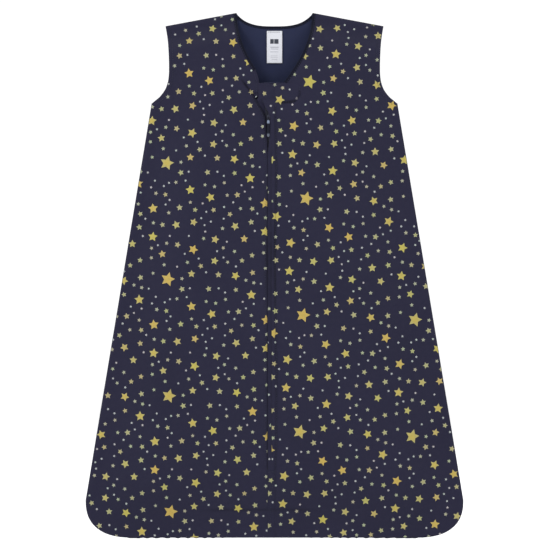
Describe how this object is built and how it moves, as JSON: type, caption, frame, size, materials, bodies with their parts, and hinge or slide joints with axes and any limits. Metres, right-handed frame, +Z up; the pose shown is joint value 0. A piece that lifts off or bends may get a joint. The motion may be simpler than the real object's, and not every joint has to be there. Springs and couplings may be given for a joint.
{
  "type": "baby sleeping bag",
  "caption": "Sleeveless A-line baby sleeping bag in printed jersey, with a centre front zip that opens from the neck nearly to the hem.",
  "frame": {"origin": "top centre: level with the points where the shoulders meet the neck, in the middle of the bag's thickness, where a hanger carries it", "axes": "+Z up when the bag hangs, -Y out of the front (the zip side), +X towards the viewer's right"},
  "size_m": [0.472, 0.0282, 0.656],
  "materials": {
    "front_fabric": "soft navy jersey with a small gold star print",
    "back_fabric": "soft navy jersey, printed outside, plain inside",
    "binding": "soft navy jersey strip",
    "seam_thread": "overlocked navy seam",
    "zip_tape": "woven navy tape",
    "zip_coil": "nylon coil",
    "zip_stop": "moulded nylon",
    "zip_metal": "blue-grey enamel on die-cast metal",
    "label_satin": "white satin label, printed with plain bars"
  },
  "bodies": {
    "bag": {"back_panel": "back_fabric", "front_panel_left": "front_fabric", "front_panel_right": "front_fabric", "centre_seam": "seam_thread", "back_neck_binding": "binding", "neck_binding_left": "binding", "neck_binding_right": "binding", "armhole_binding_left": "front_fabric", "armhole_binding_right": "front_fabric", "shoulder_seam_left": "seam_thread", "shoulder_seam_right": "seam_thread", "side_seam_left": "seam_thread", "side_seam_right": "seam_thread", "bottom_hem": "seam_thread", "zipper_bottom_stop": "zip_stop"},
    "left_flap": {"front_flap_left": "front_fabric", "flap_neck_binding_left": "binding", "zipper_tape_left": "zip_tape", "zipper_coil_left": "zip_coil", "zipper_top_stop_left": "zip_stop"},
    "right_flap": {"front_flap_right": "front_fabric", "flap_neck_binding_right": "binding", "zipper_tape_right": "zip_tape", "zipper_coil_right": "zip_coil", "zipper_top_stop_right": "zip_stop", "zip_guard": "front_fabric", "zip_cover_welt": "front_fabric"},
    "slider": {"slider_body": "zip_metal"},
    "pull": {"pull_tab": "zip_metal"},
    "label": {"neck_label": "label_satin"}
  },
  "joints": [
    {"name": "right_flap_fold", "type": "hinge", "parent": "bag", "child": "right_flap", "pos_m": [0.04062, -0.0135, -0.04], "axis": [0.0728, 0, 0.9973], "range_deg": [0, 150], "deforming": ["zipper_tape_right", "zipper_coil_right"]},
    {"name": "left_flap_fold", "type": "hinge", "parent": "bag", "child": "left_flap", "pos_m": [-0.04062, -0.0135, -0.04], "axis": [0.054, 0, -0.9985], "range_deg": [0, 150], "deforming": ["zipper_tape_left", "zipper_coil_left"]},
    {"name": "slider_travel", "type": "slide", "parent": "bag", "child": "slider", "axis": [0, 0, -1], "range_m": [0, 0.42]},
    {"name": "pull_swing", "type": "hinge", "parent": "slider", "child": "pull", "pos_m": [-0.00775, -0.01495, -0.133], "axis": [-1, 0, 0], "range_deg": [0, 170]},
    {"name": "label_flip", "type": "hinge", "parent": "bag", "child": "label", "pos_m": [0, 0.0086, -0.0226], "axis": [-1, 0, 0], "range_deg": [0, 110]}
  ],
  "couplings": [
    {"joint": "slider_travel", "follows": "right_flap_fold", "m_per_rad": 0.16},
    {"joint": "left_flap_fold", "follows": "right_flap_fold", "ratio": 1}
  ]
}
